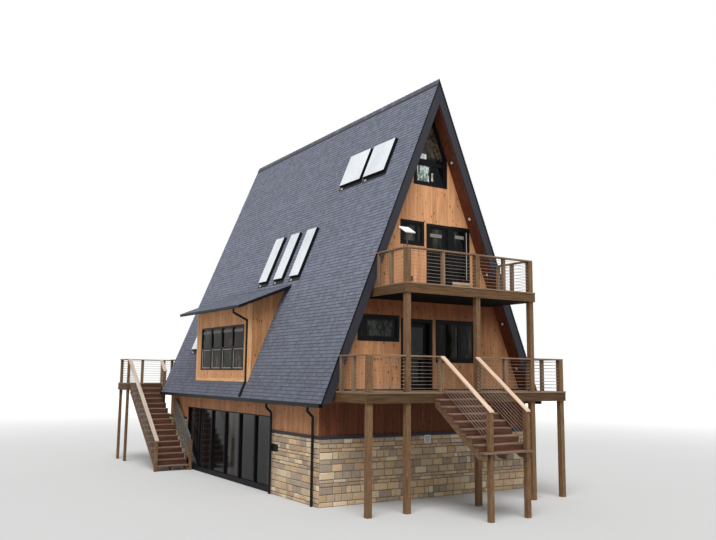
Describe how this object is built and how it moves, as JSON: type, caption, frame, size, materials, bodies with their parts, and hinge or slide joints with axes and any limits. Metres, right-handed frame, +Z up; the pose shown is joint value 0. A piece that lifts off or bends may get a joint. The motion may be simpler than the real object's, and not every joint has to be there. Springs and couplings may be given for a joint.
{
  "type": "a-frame cabin",
  "caption": "Steep-roofed A-frame cabin with front deck, balcony, shed dormers, walk-out base and outside stairs.",
  "frame": {"origin": "centre of the walls' footprint at the lowest ground", "axes": "+Z up, -Y towards the front gable, +X to the right when facing the front"},
  "size_m": [9.236, 17.38, 12.0115],
  "materials": {
    "siding": "satin",
    "trim_dark": "satin",
    "deck_wood": "matte",
    "grey_wood": "matte",
    "pale_wood": "matte",
    "soffit_wood": "satin",
    "shingle": "matte",
    "stone": "matte",
    "concrete": "matte",
    "frame_black": "satin",
    "glass": "gloss",
    "gutter_black": "satin",
    "panel_white": "satin",
    "handle_black": "satin"
  },
  "bodies": {
    "house": {"basement_slab": "concrete", "basement_front_wall": "siding", "basement_back_wall": "siding", "basement_left_wall": "siding", "basement_right_wall": "siding", "stone_veneer": "stone", "water_table": "trim_dark", "basement_glazing": "frame_black", "basement_glass": "glass", "basement_side_windows": "frame_black", "main_floor": "pale_wood", "upper_floor": "pale_wood", "loft_floor": "pale_wood", "roof_left": "shingle", "roof_right": "shingle", "ridge_cap": "shingle", "rake_boards": "trim_dark", "rake_soffits": "soffit_wood", "gutters": "gutter_black", "skylight_frames": "trim_dark", "skylight_glass": "glass", "dormer_roofs": "trim_dark", "dormer_front_walls": "siding", "dormer_cheeks": "siding", "dormer_windows": "frame_black", "dormer_glass": "glass", "front_wall_left": "siding", "front_wall_right": "siding", "front_gable_wall": "siding", "back_gable_wall": "siding", "front_windows": "frame_black", "balcony_doors": "frame_black", "front_glass": "glass", "back_windows": "frame_black", "back_glass": "glass", "door_frame": "frame_black", "hinge_pins": "handle_black", "front_deck": "deck_wood", "balcony": "deck_wood", "back_deck": "deck_wood", "stair_landing": "deck_wood", "front_deck_posts": "deck_wood", "back_deck_posts": "deck_wood", "deck_rails": "pale_wood", "balcony_rails": "pale_wood", "back_deck_rails": "pale_wood", "front_stair_rails": "pale_wood", "back_stair_rails": "pale_wood", "front_steps": "deck_wood", "back_steps": "deck_wood", "lower_stair_rail": "grey_wood", "front_stair_stringers": "deck_wood", "back_stair_stringers": "deck_wood", "downspouts": "gutter_black", "antenna": "panel_white"},
    "door": {"door_leaf": "frame_black", "door_glass": "glass", "door_handle": "handle_black", "hinge_knuckles": "handle_black"}
  },
  "joints": [
    {"name": "door_hinge", "type": "hinge", "parent": "house", "child": "door", "pos_m": [-0.951, -5.521, 2.94], "axis": [0, 0, 1], "range_deg": [0, 95]}
  ]
}
